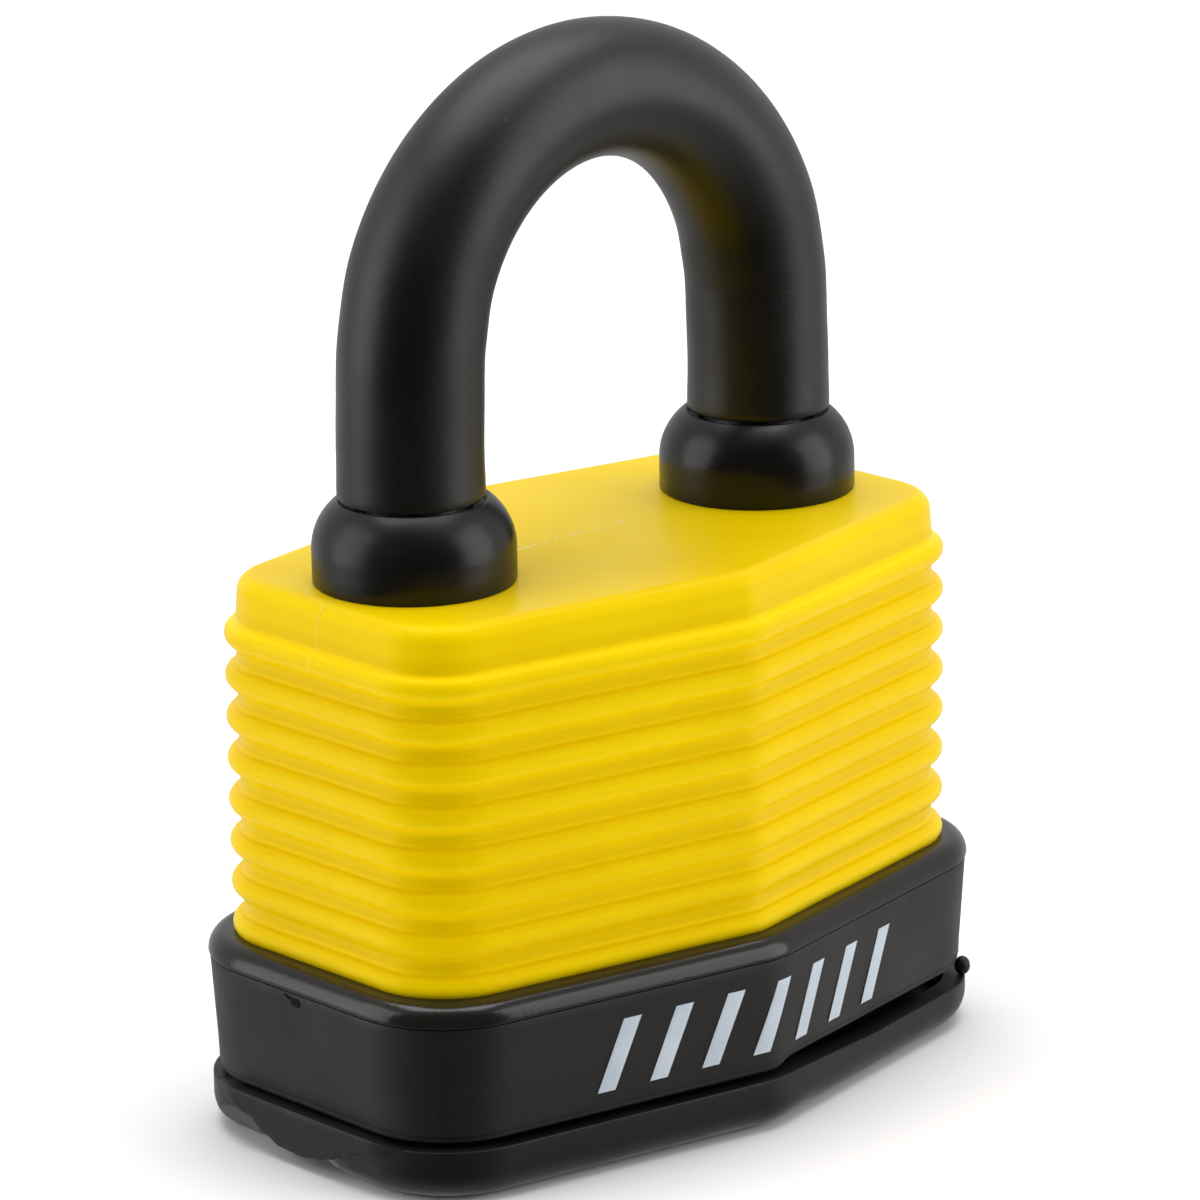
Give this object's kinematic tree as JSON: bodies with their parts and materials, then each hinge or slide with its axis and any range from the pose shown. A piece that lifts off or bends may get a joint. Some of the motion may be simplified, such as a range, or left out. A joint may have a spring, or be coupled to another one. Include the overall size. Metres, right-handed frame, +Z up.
{
  "type": "padlock",
  "caption": "Weatherproof disc-detainer padlock: ribbed jacket over a laminated body, sleeved lifting shackle with rubber seals, hinged keyway cover.",
  "frame": {"origin": "centre of the keyway cover's underside, the lowest face of the closed padlock", "axes": "+Z up the shackle, +X towards the shackle's heel leg and the cover's hinge, -Y the front"},
  "size_m": [0.0642, 0.0418, 0.086],
  "materials": {
    "jacket_yellow": "satin moulded yellow",
    "band_black": "satin black",
    "cover_black": "satin black",
    "pin_steel": "ground",
    "shackle_steel": "hardened, drawn",
    "sleeve_vinyl": "soft satin black",
    "clip_steel": "spring steel",
    "seal_rubber": "glossy black",
    "core_brass": "turned",
    "hard_steel": "hardened, ground",
    "plate_steel": "punched",
    "rivet_steel": "drawn",
    "spacer_steel": "punched"
  },
  "bodies": {
    "body": {"jacket": "jacket_yellow", "bottom_band": "band_black", "cover_hinge_pin": "pin_steel", "seal_left": "seal_rubber", "seal_right": "seal_rubber", "core_housing": "core_brass", "plate_01": "plate_steel", "plate_02": "plate_steel", "plate_03": "plate_steel", "plate_04": "plate_steel", "plate_05": "plate_steel", "plate_06": "plate_steel", "plate_07": "plate_steel", "plate_08": "plate_steel", "plate_09": "plate_steel", "plate_10": "plate_steel", "plate_11": "plate_steel", "plate_12": "plate_steel", "rivet_1": "rivet_steel", "rivet_2": "rivet_steel", "rivet_3": "rivet_steel", "rivet_4": "rivet_steel"},
    "shackle": {"shackle_bar": "shackle_steel", "shackle_sleeve": "sleeve_vinyl", "heel_clip": "clip_steel"},
    "core": {"rotor": "core_brass", "front_disc": "hard_steel", "sidebar": "pin_steel", "cam_plate": "hard_steel", "disc_1": "core_brass", "disc_2": "core_brass", "disc_3": "core_brass", "disc_4": "core_brass", "disc_5": "core_brass", "disc_6": "core_brass", "disc_7": "core_brass", "disc_8": "core_brass", "spacer_1": "spacer_steel", "spacer_2": "spacer_steel", "spacer_3": "spacer_steel", "spacer_4": "spacer_steel", "spacer_5": "spacer_steel", "spacer_6": "spacer_steel", "spacer_7": "spacer_steel"},
    "left_bolt": {"bolt_left": "hard_steel"},
    "right_bolt": {"bolt_right": "hard_steel"},
    "cover": {"keyway_cover": "cover_black"}
  },
  "joints": [
    {"name": "shackle_lift", "type": "slide", "parent": "body", "child": "shackle", "axis": [0, 0, 1], "range_m": [0, 0.022]},
    {"name": "core_turn", "type": "hinge", "parent": "body", "child": "core", "pos_m": [0, 0, 0.02], "axis": [0, 0, 1], "range_deg": [0, 90]},
    {"name": "bolt_left_slide", "type": "slide", "parent": "body", "child": "left_bolt", "axis": [-1, 0, 0], "range_m": [0, 0.002]},
    {"name": "bolt_right_slide", "type": "slide", "parent": "body", "child": "right_bolt", "axis": [1, 0, 0], "range_m": [0, 0.002]},
    {"name": "cover_hinge", "type": "hinge", "parent": "body", "child": "cover", "pos_m": [0.03095, 0, 0.0044], "axis": [0, -1, 0], "range_deg": [0, 100]}
  ],
  "couplings": [
    {"joint": "bolt_left_slide", "follows": "core_turn", "m_per_rad": 0.0012732},
    {"joint": "bolt_right_slide", "follows": "core_turn", "m_per_rad": 0.0012732}
  ]
}
